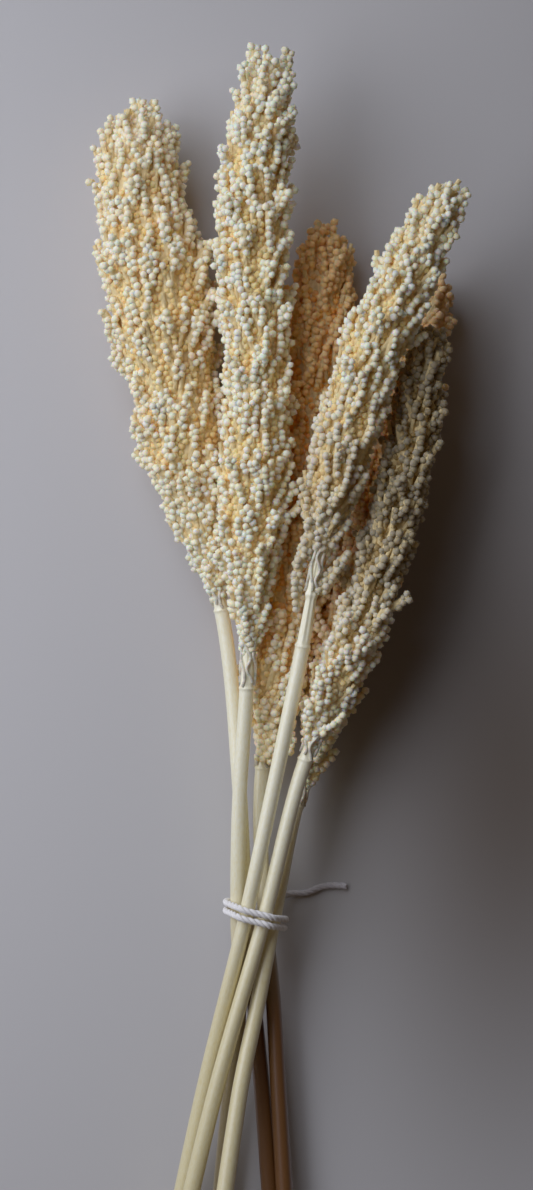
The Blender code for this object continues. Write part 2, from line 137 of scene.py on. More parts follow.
# The head's body under its twigs, with one lobe to each LOBE_AREA where its branches show in the
# outline. The hollows between the lobes are no deeper than a share of the head's radius there.
CORE_STEP = .0026
PROFILE_SAMPLES = 400
LOBE_LENGTH = .045
LOBE_HALF_WIDTH = .007
LOBE_AREA = 330e-6
LOBE_DEPTH = .0045
LOBE_DEPTH_SHARE = 0.25
BODY_COVER = 0.9
# How much grain turns up the head, where 1 is as much as it turns outwards.
UPWARD = 0.75
FLOOR_CLEARANCE = .0002

# The twigs, each a short spindle covered in grain, one to each TWIG_AREA. Its rise and its swerve are
# angles in radians. The stray ones stand out further, and are shorter and thicker.
TWIG_AREA = 50e-6
TWIG_DEPTH = .0029
TWIG_FOOT_DEPTH = .0006
TWIG_LENGTH = (.012, .019)
TWIG_RADIUS = (.0011, .0017)
TWIG_RISE = (.12, .34)
TWIG_SWERVE = 0.35
TWIG_TAPER = 0.25
TWIG_BEND_AT = 0.55
TWIG_BEND = 0.35
TWIG_SIDES = 6
TWIG_STEP = .0030
STRAY_RISE = 0.45
STRAY_LENGTH = 0.85
STRAY_GIRTH = 1.4

# One grain: how far out of its branch it sits, and its rings as (height, girth) on a ball of radius 1.
GRAIN_SEAT = .0016
GRAIN_SIDES = 6
GRAIN_RINGS = [(-0.55, 0.78), (0.30, 0.92)]
# How many places are tried on a square of one spacing, so that grain fills all the room there is.
GRAINS_TRIED = 6.0

# The stalks: how much thicker they are at the cut end and how far up, and where on the way up the
# brown of their feet, partly dried colour and partly painted shade, and their deeper straw fade out.
FLARE = .0010
FLARE_TO = .21
BROWN_FADE = (.16, .24)
FOOT_FADE = (.17, .27)
# 30 streaks of fibre round a stalk are 0.7 mm apart, and 12 x 30 to the metre makes them 3 mm long.
FIBRES_ROUND = 30.0
FIBRE_STRETCH = 12.0
# The neck narrows at the ring, again where the head's stem begins, and is grooved. A whorl is a
# second ring, as {stem: place along Y}.
RING_STEP = (-.001, .0015)
ABOVE_RING = 0.94
NECK_TAPER = .018
NECK_IN_HEAD = .020
NECK_GROOVES = 7.0
GROOVE_FADE = .004
WHORLS = {"right_front": .145}
WHORL_STANDS = .0007
WHORL_LENGTH = .0030
# A stalk has this many rows up to just below its ring, and then one at every step up the neck.
STALK_ROWS = 60
NECK_FROM = .01
NECK_STEP = .0004
# The strands of split skin: each starts just above the ring, winds slowly round the neck and stands
# off it a little half way up. Its wobble is an angle, and its lay and waves are lengths up the neck.
STRAND_SEED = 11
STRAND_SIDES = 5
STRAND_STEP = .0010
STRAND_START = (.0005, .003)
STRAND_LAY = .030
STRAND_WOBBLE = 0.35
STRAND_WAVE = (.0016, .0030)
STRAND_LIFT = (0.0, .0009)
STRAND_STANDS = 0.3

# The cord: three plies, two turns round the stalks a little aslant, a knot under them and a free end.
# A ply's place and radius are shares of the cord's diameter, and its step is a share of the twist.
PLIES = 3
PLY_SIDES = 8
PLY_PLACE = 0.25
PLY_RADIUS = 0.27
PLY_STEP = 0.08
TIE_PITCH = .0040
TIE_TURNS = 2
TIE_SLANT = 0.22
TIE_STEPS = 40
KNOT_STEPS = 90
STALK_LEAN_ALLOWANCE = .0002
TOUCH_GAP = .0003
KNOT_CENTRE = (.0005, .0, .0069)
KNOT_SIZE = (.0011, .0010, .0011)
TAIL_ROUTE = [(.0053, .0014, .0066), (.0076, .0030, .0060), (.0098, .0048, .0049),
              (.0120, .0065, .0036), (.0142, .0076, .0026), (.0166, .0080, .0019),
              (.0192, .0081, .0016), (.0220, .0082, .0015), (.0246, .0088, .0015),
              (.0270, .0099, .0015), (.0294, .0109, .0015), (.0322, .0115, .0015),
              (.0352, .0117, .0015), (.0382, .0116, .0015), (.0412, .0113, .0015)]

# The picture in pixels and where the tie is in it, the floor, and a painted shadow on it: a patch of its
# paint greyed to look as if it gets less light.
PICTURE = (533, 1190)
TIE_PIXEL = (256.0, 916.6)
FLOOR_SIZE = 6.0
PAINTED_SHADOW_PLACE = (.1200, .0600, 0.0)
PAINTED_SHADOW_SIZE = (.15, .31, 1.0)
# Pale grain passes much light on to its neighbours, which fills the gaps between the twigs.
LIGHT_BOUNCES = 12
# A soft light: where it is and what it points at, both from the middle of the picture, and its size.
Panel = namedtuple("Panel", "place aim size spread")
WINDOW = Panel((-0.464, 0.501, 0.683), (-0.199, -1.036, 0.020), (0.800, 0.800), 2.404)
WALL = Panel((-0.720, 0.130, 0.580), (0.0, 0.0, 0.0), (0.700, 0.900), math.pi)

# Kinds of node that are used often, and settings that every node of a kind gets.
MATH = "ShaderNodeMath"
VECTOR = "ShaderNodeVectorMath"
MIX = "ShaderNodeMix"
RANGE = "ShaderNodeMapRange"
BUMP = "ShaderNodeBump"
PLACE = "ShaderNodeTexCoord"
NAMED = "GeometryNodeInputNamedAttribute"
STORE = "GeometryNodeStoreNamedAttribute"
RANDOM = "FunctionNodeRandomValue"
SET_PLACE = "GeometryNodeSetPosition"
SET_MATERIAL = "GeometryNodeSetMaterial"
SET_SMOOTH = "GeometryNodeSetShadeSmooth"
CIRCLE = "GeometryNodeCurvePrimitiveCircle"
SWEEP = "GeometryNodeCurveToMesh"
ALONG = "GeometryNodeSplineParameter"
USUAL = {MIX: {"data_type": "RGBA"}, RANGE: {"interpolation_type": "SMOOTHSTEP"},
         CIRCLE: {"mode": "RADIUS"}}


def tie_place():
    """Where the stems cross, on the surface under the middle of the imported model's tie."""
    low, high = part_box("tie")
    return np.array([(low.x + high.x) / 2, (low.y + high.y) / 2, 0.0])


TIE_PLACE = tie_place()


def in_frame(points):
    """Places measured from the tie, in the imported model's frame."""
    return np.array(points, float) + TIE_PLACE


def linear(hex_colour):
    """An sRGB hex colour as linear red, green and blue."""
    channels = [int(hex_colour[i:i + 2], 16) / 255 for i in (1, 3, 5)]
    return tuple(c / 12.92 if c <= 0.04045 else ((c + 0.055) / 1.055) ** 2.4 for c in channels)


def colour_property(name, description, hex_colour):
    return FloatVectorProperty(name=name, description=description, default=linear(hex_colour),
                               subtype="COLOR", size=3, min=0.0, max=1.0)


def length_property(name, description, default):
    return FloatProperty(name=name, description=description, default=default, min=0.0,
                         subtype="DISTANCE", unit="LENGTH", precision=5)


class SorghumStage(bpy.types.PropertyGroup):
    """The surface, the light and the camera."""

    camera_height: length_property("Camera height", "How far above the surface the camera is", 1.6)
    picture_scale: length_property("Picture scale", "What one pixel of the picture spans", .00045)
    scale_height: length_property("Scale height", "The height above the surface of that scale", .030)
    floor_colour: colour_property("Floor", "Matt pale paint on board", "#c3c0be")
    # Painted shadow: the floor's paint greyed in one soft patch beside the bunch.
    painted_shadow_colour: colour_property("Floor patch", "The same paint where it is greyest", "#62584f")
    backdrop_colour: colour_property("Backdrop", "What the camera sees past the floor", "#b4b4b6")
    key_power: FloatProperty(name="Window light", description="Power of the large soft light at the left",
                             default=3.4, min=0.0, subtype="POWER", unit="POWER")
    key_colour: colour_property("Window colour", "Cool daylight", "#e4edff")
    side_power: FloatProperty(name="Wall light", description="Power of the light off the wall at the left",
                              default=4.9, min=0.0, subtype="POWER", unit="POWER")
    side_colour: colour_property("Wall colour", "Daylight off a white wall", "#ecf0ff")
    fill_strength: FloatProperty(name="Room light", description="Strength of the dim light from all round",
                                 default=0.048, min=0.0)
    fill_colour: colour_property("Room colour", "Warm light from the room", "#f6d3b6")
    tone_gamma: FloatProperty(name="Tone", description="Lifts the darker tones, as a camera's picture does",
                              default=1.15, min=0.5, max=2.0)


class SorghumGrain(bpy.types.PropertyGroup):
    """The grains and the branches that carry them."""

    width: length_property("Grain width", "Thickness of one grain in its husk", .0037)
    length: length_property("Grain length", "Length of one grain from base to tip", .0041)
    spacing: length_property("Spacing", "Least distance between two grains", .0025)
    uneven: length_property("Unevenness", "How far a grain may stand out or sink in", .0006)
    lean: FloatProperty(name="Lean", description="How far grains lean out of line", default=0.45, min=0.0)
    spread: FloatProperty(name="Size spread", description="Share by which grains differ in size",
                          default=0.14, min=0.0, max=0.5)
    crown_colour: colour_property("Crown", "The pale outer end of a grain", "#fbf4df")
    husk_colour: colour_property("Husk", "The husk at the foot of a grain", "#fae8b6")
    # Painted shade: grain and branches deep in a head take this colour, where shade falls between the twigs.
    hollow_shade_colour: colour_property("Hollows", "Grain and branches deep in the head", "#fbe0a0")
    # Partly a head's own tone and partly painted warm shade, on the heads that lie in the shade of others.
    amber_and_shade_colour: colour_property("Amber", "Grain of the heads that dried darker", "#fcc87c")
    # Painted shade: greys the grain at the foot or the tip of the heads that lie in the shade of others.
    painted_shade_colour: colour_property("Dull", "Grain that dried dull and greyish", "#aaa396")


class SorghumStalk(bpy.types.PropertyGroup):
    """The stalks, rings and necks."""

    radius: length_property("Stalk radius", "Half the thickness of a stalk", .0033)
    neck_radius: length_property("Neck radius", "Half the thickness of the neck above the ring", .0026)
    stem_radius: length_property("Head stem radius", "Half the thickness where the head begins", .0019)
    ring_length: length_property("Ring length", "Length of the ring along the stalk", .0014)
    ring_stands: length_property("Ring height", "How far the ring stands out", .0004)
    groove: length_property("Groove depth", "Depth of the grooves in the neck", .0005)
    sides: IntProperty(name="Sides", description="Sides of a stalk's cross section", default=32, min=8)
    strand_radius: length_property("Strand radius", "Half the thickness of a strand on the neck", .00075)
    strand_count: IntProperty(name="Strands", description="Strands round one neck", default=6, min=0)
    rind_colour: colour_property("Rind", "Waxy straw skin of the stalk", "#fffadc")
    foot_colour: colour_property("Foot of the rind", "The same skin lower down, a deeper straw", "#e4d8aa")
    shade_colour: colour_property("Rind streaks", "Darker fibres under the skin", "#f5ecc8")
    # Partly dried colour and partly painted shade, on the feet of the stalks that lie under the others.
    aged_and_shade_colour: colour_property("Aged rind", "Foot of the stalks that dried darker", "#7a5233")
    strand_colour: colour_property("Strands", "Dry skin that has split into strands", "#eae3cd")
    pith_colour: colour_property("Pith", "Spongy pith at the cut end", "#e9dfc0")


class SorghumCord(bpy.types.PropertyGroup):
    """The tie's cord."""

    diameter: length_property("Cord diameter", "Thickness of the whole cord", .0030)
    pitch: length_property("Twist", "Length in which the plies go once round", .0090)
    cotton_colour: colour_property("Cotton", "Bleached cotton", "#f4f0ec")
    # Painted shade: the free end's cotton is greyed as it lies in the shade of the stalks.
    tail_shade_colour: colour_property("Cotton end", "The cord's free end, greyed by handling", "#bfb9ba")


def out(node, name=None):
    """The node's first output in use, or the first in use with that name."""
    return next(s for s in node.outputs if s.enabled and name in (None, s.name))


def add_node(tree, kind, inputs=(), **settings):
    """A new node with its settings. Its inputs are set or linked in their order, or by index or name."""
    node = tree.nodes.new(kind)
    for name, value in {**USUAL.get(kind, {}), **settings}.items():
        setattr(node, name, value)
    if not isinstance(inputs, dict):
        inputs = dict(enumerate(inputs))
    for key, value in inputs.items():
        socket = node.inputs[key] if isinstance(key, int) else next(
            s for s in node.inputs if s.enabled and s.name == key)
        if isinstance(value, bpy.types.Node):
            value = out(value)
        if isinstance(value, bpy.types.NodeSocket):
            tree.links.new(value, socket)
        else:
            socket.default_value = (*value, 1.0) if socket.type == "RGBA" else value
    return node


def new_tree(name, sockets):
    """A geometry node tree with the named inputs, as (tree, its input sockets)."""
    tree = bpy.data.node_groups.new(name, "GeometryNodeTree")
    for label, kind in [("Geometry", "Geometry"), *sockets]:
        tree.interface.new_socket(label, in_out="INPUT", socket_type="NodeSocket" + kind)
    tree.interface.new_socket("Geometry", in_out="OUTPUT", socket_type="NodeSocketGeometry")
    return tree, tree.nodes.new("NodeGroupInput").outputs


def link_mesh(name, mesh):
    """The mesh as an object of the scene."""
    piece = bpy.data.objects.new(name, mesh)
    bpy.context.scene.collection.objects.link(piece)
    return piece


def apply_tree(name, mesh, tree, values):
    """The plain mesh that a tree makes from this one, as an object."""
    source = link_mesh(name + "_source", mesh)
    modifier = source.modifiers.new(name, "NODES")
    modifier.node_group = tree
    for item in tree.interface.items_tree:
        if item.in_out == "INPUT" and item.name in values:
            modifier[item.identifier] = values[item.name]
    graph = bpy.context.evaluated_depsgraph_get()
    made = bpy.data.meshes.new_from_object(source.evaluated_get(graph))
    made.name = name
    bpy.data.objects.remove(source)
    bpy.data.meshes.remove(mesh)
    return link_mesh(name, made)


def finish_piece(piece, replaced=()):
    """Rides the piece on the frame and the nodes that it stands for."""
    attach(piece, "root")
    if replaced:
        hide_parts(*replaced)


def unit(vectors):
    """The vectors at length 1."""
    return vectors / np.linalg.norm(vectors, axis=-1, keepdims=True)


class Spine:
    """A smooth curve through route points, read by the length along it."""

    SAMPLES_PER_SPAN = 40
    LOOK = .001

    def __init__(self, route):
        knots = np.array(route, float)
        chords = np.linalg.norm(np.diff(knots, axis=0), axis=1)
        slopes = []
        for i in range(len(knots)):
            low = max(i - 1, 0)
            high = min(i + 1, len(knots) - 1)
            slopes.append((knots[high] - knots[low]) / sum(chords[low:high]))
        t = (np.arange(1, self.SAMPLES_PER_SPAN + 1) / self.SAMPLES_PER_SPAN)[:, None]
        spans = [knots[:1]]
        for i, chord in enumerate(chords):
            spans.append(knots[i] * (2 * t ** 3 - 3 * t ** 2 + 1)
                         + slopes[i] * chord * (t ** 3 - 2 * t ** 2 + t)
                         + knots[i + 1] * (3 * t ** 2 - 2 * t ** 3)
                         + slopes[i + 1] * chord * (t ** 3 - t ** 2))
        self.points = np.concatenate(spans)
        steps = np.linalg.norm(np.diff(self.points, axis=0), axis=1)
        self.arcs = np.concatenate([[0.0], np.cumsum(steps)])
        self.length = self.arcs[-1]

    def at(self, arc):
        return np.stack([np.interp(arc, self.arcs, self.points[:, k]) for k in range(3)], axis=-1)

    def axes(self, arc):
        """The curve's direction, its right and its upward side at these lengths."""
        near = self.at(np.maximum(arc - self.LOOK, 0.0))
        far = self.at(np.minimum(arc + self.LOOK, self.length))
        along = unit(far - near)
        right = unit(np.cross(along, (0.0, 0.0, 1.0)))
        return along, right, np.cross(right, along)

    def arc_at_y(self, y):
        return float(np.interp(y, self.points[:, 1], self.arcs))

    def around(self, arc, angle, radius):
        """The places at this radius and angle from the curve, and the directions out to them."""
        _, right, up = self.axes(arc)
        outward = right * np.cos(angle)[:, None] + up * np.sin(angle)[:, None]
        return self.at(arc) + outward * np.reshape(radius, (-1, 1)), outward


def tube_faces(rows, columns):
    """Triangles of a tube of vertex rows whose odd rows are turned by half a column."""
    faces = []
    for row in range(rows - 1):
        for column in range(columns):
            here = row * columns + column
            here_next = row * columns + (column + 1) % columns
            above = here + columns
            above_next = here_next + columns
            if row % 2 == 0:
                faces += [(here, above, here_next), (here_next, above, above_next)]
            else:
                faces += [(here, above_next, here_next), (here, above, above_next)]
    return faces


def tube_angles(rows, columns):
    """The angle of every vertex of such a tube."""
    turn = np.arange(columns)[None, :] + 0.5 * (np.arange(rows)[:, None] % 2)
    return (math.tau * turn / columns).ravel()


def mesh_with(name, vertices, faces, edges=(), **attributes):
    """A mesh with one value of each named attribute at each vertex."""
    mesh = bpy.data.meshes.new(name)
    mesh.from_pydata(np.asarray(vertices).tolist(), list(edges), list(faces))
    for label, values in attributes.items():
        values = np.asarray(values, np.float32)
        kind, field = ("FLOAT", "value") if values.ndim == 1 else ("FLOAT_VECTOR", "vector")
        mesh.attributes.new(label, kind, "POINT").data.foreach_set(field, values.ravel())
    mesh.update()
    return mesh


def path_mesh(name, paths, **attributes):
    """Chains of edges through each path's points, for a tree that turns them into curves."""
    edges = []
    start = 0
    for path in paths:
        edges += [(start + i, start + i + 1) for i in range(len(path) - 1)]
        start += len(path)
    return mesh_with(name, np.concatenate(paths), [], edges, **attributes)


def head_profile(stem, spine):
    """Rows up a head as lengths along the spine, radii and slopes, evenly spaced over its surface."""
    start = spine.arc_at_y(stem.head_y)
    part = np.linspace(0.0, 1.0, PROFILE_SAMPLES)
    radii = np.interp(part, *zip(*stem.outline))
    arcs = start + (spine.length - start) * part
    slopes = np.gradient(radii, arcs)
    travelled = np.concatenate([[0.0], np.cumsum(np.hypot(np.diff(arcs), np.diff(radii)))])
    rows = np.linspace(0.0, travelled[-1], round(travelled[-1] / CORE_STEP) + 1)
    return [np.interp(rows, travelled, values) for values in (arcs, radii, slopes)]


def widest(stem):
    """The head's greatest radius."""
    return max(radius for _, radius in stem.outline)


def lobe_height(stem, rows, arcs, angles, radii):
    """How far up a lobe each place is, from 0 between the lobes to 1 on top of one."""
    reach = rows[-1] - rows[0]
    count = round(math.tau * widest(stem) * reach / LOBE_AREA)
    best = np.zeros_like(arcs)
    for i in range(count):
        start = rows[0] - LOBE_LENGTH + (reach + LOBE_LENGTH / 2) * i / count
        along = (arcs - start) / LOBE_LENGTH
        turn = (angles - i * GOLDEN_ANGLE + np.pi) % math.tau - np.pi
        across = radii * turn / LOBE_HALF_WIDTH
        inside = (along > 0.0) & (along < 1.0) & (np.abs(across) < 1.0)
        height = np.sqrt((1.0 - across[inside] ** 2) * along[inside] * (1.0 - along[inside] ** 6))
        best[inside] = np.maximum(best[inside], height)
    return best


def body_sink(stem, rows, arcs, angles, radii):
    """How far under the head's outline its body is at these places."""
    lobe = lobe_height(stem, rows, arcs, angles % math.tau, radii)
    narrow = np.minimum(1.0, radii / widest(stem))
    lobe_depth = np.minimum(LOBE_DEPTH, radii * LOBE_DEPTH_SHARE)
    return stem.gaps * (lobe_depth * (1.0 - lobe) + TWIG_DEPTH * narrow)


class Core:
    """The branches of one head as one mesh in the making. For its grains it keeps which way they
    grow, how deep in the head a place is, which sets their painted shade, which share of it they
    cover and how far up it is."""

    FIELDS = ("growth", "deep", "cover", "height")

    def __init__(self):
        self.vertices = []
        self.values = {name: [] for name in self.FIELDS}
        self.faces = []
        self.count = 0

    def add(self, vertices, faces, *values):
        self.faces += [tuple(self.count + i for i in face) for face in faces]
        self.vertices.append(vertices)
        for name, value in zip(self.FIELDS, values):
            self.values[name].append(value)
        self.count += len(vertices)

    def add_body(self, stem, spine):
        """The head's own lobed body, sunk under the twigs that cover it."""
        arcs, radii, slopes = head_profile(stem, spine)
        columns = round(math.tau * widest(stem) / CORE_STEP)
        rows = len(arcs)
        arc, radius, slope = [np.repeat(values, columns) for values in (arcs, radii, slopes)]
        angle = tube_angles(rows, columns)
        place, outward = spine.around(arc, angle, radius)
        along, _, _ = spine.axes(arc)
        normal = unit(outward - along * slope[:, None])
        vertices = place - normal * body_sink(stem, arcs, arc, angle, radius)[:, None]
        growth = unit(normal + along * UPWARD)
        last = (rows - 1) * columns
        faces = tube_faces(rows, columns)
        faces.append(tuple(range(columns)))
        faces += [(last + i, rows * columns, last + (i + 1) % columns) for i in range(columns)]
        tip = spine.at(spine.length - TWIG_DEPTH)[None, :]
        # The body is seen deep between the twigs where the head is thick, and bare at its thin ends; how
        # deep it is sets the painted shade of its grain.
        deep = np.clip(1.7 * radius / widest(stem) - 0.5, 0.0, 1.0)
        height = (arc - arcs[0]) / (arcs[-1] - arcs[0])
        self.add(np.concatenate([vertices, tip]), faces, np.concatenate([growth, along[-1:]]),
                 np.append(deep, 0.0), np.full(len(deep) + 1, BODY_COVER), np.append(height, 1.0))

    def add_twig(self, points, radius, taper, height, outside=None):
        """A short spindle at this height up the head, from 0 to 1, narrower at its tip by the taper.
        outside is the head's outward direction: on the twig's other side few grains have room."""
        spine = Spine(points)
        rows = max(3, round(spine.length / TWIG_STEP))
        part = np.repeat(np.linspace(0.0, 1.0, rows + 1), TWIG_SIDES)
        girth = np.maximum(radius * (1.0 - taper * part), GRAIN_SEAT / 3)
        vertices, outward = spine.around(part * spine.length, tube_angles(rows + 1, TWIG_SIDES), girth)
        along, _, _ = spine.axes(part * spine.length)
        last = rows * TWIG_SIDES
        faces = tube_faces(rows + 1, TWIG_SIDES)
        faces.append(tuple(range(TWIG_SIDES)))
        faces.append(tuple(reversed(range(last, last + TWIG_SIDES))))
        # A twig is deep in the head at its foot and on the side that faces the body, and its grain there
        # gets painted shade.
        deep = 0.55 * (1.0 - part)
        cover = np.ones(len(vertices))
        if outside is not None:
            facing = outward @ outside
            cover = np.clip(1.0 + 1.5 * facing + 0.8 * part, 0.0, 1.0)
            deep = deep + 0.3 * np.clip(-facing, 0.0, 1.0)
        self.add(vertices, faces, unit(outward + along * UPWARD), deep, cover,
                 np.full(len(vertices), height))

    def mesh(self, name):
        vertices = np.concatenate(self.vertices)
        vertices[:, 2] = np.maximum(vertices[:, 2], FLOOR_CLEARANCE + GRAIN_SEAT)
        values = {name: np.concatenate(parts) for name, parts in self.values.items()}
        return mesh_with(name, vertices + TIE_PLACE, self.faces, **values)


def add_twigs(core, stem, spine, draw):
    """Adds the short twigs that cover the body, each a cluster of grain with gaps round it."""
    arcs, radii, slopes = head_profile(stem, spine)
    area = np.concatenate([[0.0], np.cumsum(math.tau * (radii[1:] + radii[:-1]) / 2 * np.diff(arcs))])
    count = round(area[-1] / TWIG_AREA)
    share = (np.arange(count) + draw.uniform(0.0, 1.0, count)) / count
    arc = np.interp(share * area[-1], area, arcs)
    angle = np.arange(count) * GOLDEN_ANGLE + draw.uniform(-0.3, 0.3, count)
    radius_there = np.interp(arc, arcs, radii)
    slope = np.interp(arc, arcs, slopes)
    foot, outward = spine.around(arc, angle, radius_there)
    along, _, _ = spine.axes(arc)
    normal = unit(outward - along * slope[:, None])
    upward = unit(along + outward * np.maximum(slope, 0.0)[:, None])
    sideways = np.cross(along, outward)
    foot = foot - normal * (body_sink(stem, arcs, arc, angle, radius_there) + TWIG_FOOT_DEPTH)[:, None]
    height = (arc - arcs[0]) / (arcs[-1] - arcs[0])
    # Near the tip of the head the twigs are shorter and lie flatter.
    near_tip = np.clip((arc - arcs[-1]) / TWIG_LENGTH[1] + 1.0, 0.0, 1.0)
    for i in range(count):
        length = draw.uniform(*TWIG_LENGTH) * (1.0 - 0.4 * near_tip[i])
        rise = draw.uniform(*TWIG_RISE) * stem.gaps * (1.0 - 0.5 * near_tip[i])
        radius = draw.uniform(*TWIG_RADIUS)
        if draw.uniform() < stem.stray:
            rise += STRAY_RISE * (1.0 - near_tip[i])
            length *= STRAY_LENGTH
            radius *= STRAY_GIRTH
        swerve = draw.uniform(-TWIG_SWERVE, TWIG_SWERVE)
        first = unit(upward[i] * math.cos(rise) + normal[i] * math.sin(rise) + sideways[i] * swerve)
        second = unit(first + along[i] * TWIG_BEND)
        bend = foot[i] + first * length * TWIG_BEND_AT
        tip = bend + second * length * (1.0 - TWIG_BEND_AT)
        core.add_twig([foot[i], bend, tip], radius, TWIG_TAPER, height[i], normal[i])


def grain_shape(settings):
    """One grain: an egg with a blunt point, and a tip value that rises from its foot to its point."""
    shape = bmesh.new()
    foot = shape.verts.new((0.0, 0.0, -1.0))
    rings = []
    for number, (height, girth) in enumerate(GRAIN_RINGS):
        turns = [math.tau * (i + 0.5 * number) / GRAIN_SIDES for i in range(GRAIN_SIDES)]
        rings.append([shape.verts.new((girth * math.cos(t), girth * math.sin(t), height)) for t in turns])
    tip = shape.verts.new((0.0, 0.0, 1.0))
    low, high = rings
    for i in range(GRAIN_SIDES):
        after = (i + 1) % GRAIN_SIDES
        for corners in [(foot, low[after], low[i]), (low[i], low[after], high[i]),
                        (low[after], high[after], high[i]), (high[i], high[after], tip)]:
            shape.faces.new(corners)
    tips = [(vert.co.z + 1.0) / 2.0 for vert in shape.verts]
    for vert in shape.verts:
        vert.co *= settings.width / 2
        vert.co.z *= settings.length / settings.width
    mesh = bpy.data.meshes.new("grain")
    shape.to_mesh(mesh)
    shape.free()
    mesh.attributes.new("tip", "FLOAT", "POINT").data.foreach_set("value", tips)
    mesh.shade_smooth()
    return link_mesh("grain_shape", mesh)


def grain_tree():
    """Grains set over a surface, each on its own place, pointing out and up with some lean."""
    tree, given = new_tree("grain on branches", [
        ("Grain", "Object"), ("Spacing", "Float"), ("Unevenness", "Float"), ("Lean", "Float"),
        ("Smallest", "Float"), ("Largest", "Float"), ("Draw", "Int"), ("Material", "Material")])
    node = partial(add_node, tree)
    density = node(MATH, [given["Spacing"], -2.0], operation="POWER")
    tried = node(MATH, [density, GRAINS_TRIED], operation="MULTIPLY")
    cover = node(NAMED, {"Name": "cover"})
    seats = node("GeometryNodeDistributePointsOnFaces", {
        "Mesh": given["Geometry"], "Distance Min": given["Spacing"], "Density Max": tried,
        "Density Factor": cover, "Seed": given["Draw"]}, distribute_method="POISSON")
    low = node(MATH, [given["Unevenness"], -1.0], operation="MULTIPLY")
    shift = node(RANDOM, {"Min": low, "Max": given["Unevenness"], "Seed": 1})
    offset = node(VECTOR, {"Vector": seats.outputs["Normal"], "Scale": shift}, operation="SCALE")
    moved = node(SET_PLACE, {"Geometry": seats.outputs["Points"], "Offset": offset})
    growth = node(NAMED, {"Name": "growth"}, data_type="FLOAT_VECTOR")
    stray = node(RANDOM, {"Min": (-1.0, -1.0, -1.0), "Max": (1.0, 1.0, 1.0), "Seed": 2},
                 data_type="FLOAT_VECTOR")
    leaning = node(VECTOR, {"Vector": stray, "Scale": given["Lean"]}, operation="SCALE")
    heading = node(VECTOR, [growth, leaning], operation="ADD")
    pointed = node("FunctionNodeAlignRotationToVector", {"Vector": heading}, axis="Z")
    spin = node(RANDOM, {"Min": 0.0, "Max": math.tau, "Seed": 3})
    about = node("FunctionNodeAxisAngleToRotation", {"Axis": (0.0, 0.0, 1.0), "Angle": spin})
    turned = node("FunctionNodeRotateRotation", {"Rotation": pointed, "Rotate By": about},
                  rotation_space="LOCAL")
    size = node(RANDOM, {"Min": given["Smallest"], "Max": given["Largest"], "Seed": 4})
    tone = node(RANDOM, {"Min": 0.0, "Max": 1.0, "Seed": 5})
    toned = node(STORE, {"Geometry": moved, "Name": "tone", "Value": tone})
    grain = node("GeometryNodeObjectInfo", {"Object": given["Grain"]})
    placed = node("GeometryNodeInstanceOnPoints", {
        "Points": toned, "Instance": out(grain, "Geometry"), "Rotation": turned, "Scale": size})
    real = node("GeometryNodeRealizeInstances", {"Geometry": placed})
    made = node(SET_MATERIAL, {"Geometry": real, "Material": given["Material"]})
    node("NodeGroupOutput", [made])
    return tree


def tube_tree():
    """Tubes of a changing radius along paths, with lengthwise grooves, and pith in their cut ends."""
    tree, given = new_tree("tube along path", [
        ("Sides", "Int"), ("Grooves", "Float"), ("Material", "Material"), ("End Material", "Material")])
    node = partial(add_node, tree)
    curve = node("GeometryNodeMeshToCurve", {"Mesh": given["Geometry"]})
    path = node(STORE, {"Geometry": curve, "Name": "along", "Value": out(node(ALONG), "Length")})
    circle = node(CIRCLE, {"Resolution": given["Sides"], "Radius": 1.0})
    ring = node(STORE, {"Geometry": circle, "Name": "around", "Value": out(node(ALONG), "Factor")})
    girth = node(NAMED, {"Name": "girth"})
    tube = node(SWEEP, {"Curve": path, "Profile Curve": ring, "Scale": girth, "Fill Caps": True})
    around = node(NAMED, {"Name": "around"})
    groove = node(NAMED, {"Name": "groove"})
    turns = node(MATH, [around, given["Grooves"]], operation="MULTIPLY")
    angle = node(MATH, [turns, math.tau], operation="MULTIPLY")
    wave = node(MATH, [angle], operation="COSINE")
    inward = node(MATH, [wave, 0.5, -0.5], operation="MULTIPLY_ADD")
    depth = node(MATH, [inward, groove], operation="MULTIPLY")
    normal = node("GeometryNodeInputNormal")
    offset = node(VECTOR, {"Vector": normal, "Scale": depth}, operation="SCALE")
    grooved = node(SET_PLACE, {"Geometry": tube, "Offset": offset})
    corners = node("GeometryNodeInputMeshFaceNeighbors")
    is_end = node("FunctionNodeCompare", {"A": out(corners, "Vertex Count"), "B": 4},
                  data_type="INT", operation="GREATER_THAN")
    skin = node(SET_MATERIAL, {"Geometry": grooved, "Material": given["Material"]})
    ends = node(SET_MATERIAL, {
        "Geometry": skin, "Selection": is_end, "Material": given["End Material"]})
    is_side = node("FunctionNodeBooleanMath", [is_end], operation="NOT")
    made = node(SET_SMOOTH, {"Geometry": ends, "Shade Smooth": is_side})
    node("NodeGroupOutput", [made])
    return tree


